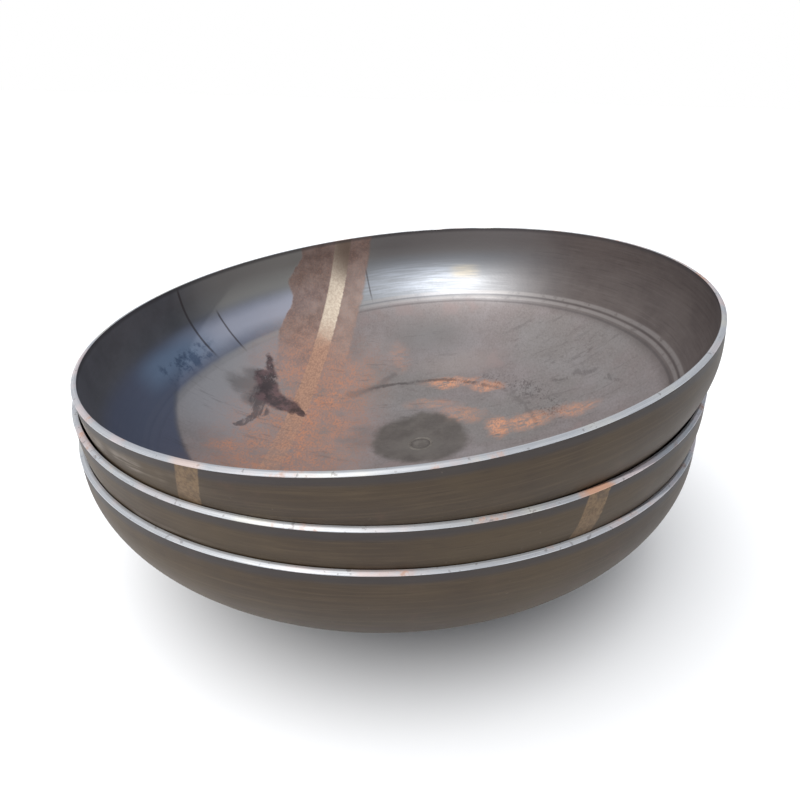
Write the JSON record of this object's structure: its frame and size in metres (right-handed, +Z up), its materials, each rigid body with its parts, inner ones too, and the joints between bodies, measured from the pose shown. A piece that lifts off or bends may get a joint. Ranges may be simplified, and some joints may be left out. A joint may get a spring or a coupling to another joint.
{
  "type": "pipe cap",
  "caption": "Large butt-weld ellipsoidal pipe caps nested open side up, each pressed from two plates with a ground seam and a plugged centre; each upper cap lifts off.",
  "frame": {"origin": "lowest point of the bottom cap's crown, on that cap's axis", "axes": "+Z up along the bottom cap's axis towards its open end; +X to the right and +Y away from the viewer in the reference view"},
  "size_m": [1.2305, 1.2239, 0.5862],
  "materials": {
    "pressed_plate": "hot-pressed carbon steel plate with brown-grey oxide",
    "ground_weld": "butt weld ground flush, lightly rusted",
    "plug_steel": "dark heat-tinted steel",
    "weld_bead": "as-welded bead, heat-tinted"
  },
  "bodies": {
    "bottom_cap": {"bottom_major_plate": "pressed_plate", "bottom_minor_plate": "pressed_plate", "bottom_seam_weld": "ground_weld", "bottom_centre_plug": "plug_steel", "bottom_plug_weld": "weld_bead"},
    "middle_cap": {"middle_major_plate": "pressed_plate", "middle_minor_plate": "pressed_plate", "middle_seam_weld": "ground_weld", "middle_centre_plug": "plug_steel", "middle_plug_weld": "weld_bead"},
    "top_cap": {"top_major_plate": "pressed_plate", "top_minor_plate": "pressed_plate", "top_seam_weld": "ground_weld", "top_centre_plug": "plug_steel", "top_plug_weld": "weld_bead"}
  },
  "joints": [
    {"name": "middle_lift", "type": "slide", "parent": "bottom_cap", "child": "middle_cap", "axis": [0, 0, 1], "range_m": [0, 0.4]},
    {"name": "top_lift", "type": "slide", "parent": "middle_cap", "child": "top_cap", "axis": [0, 0, 1], "range_m": [0, 0.4]}
  ]
}
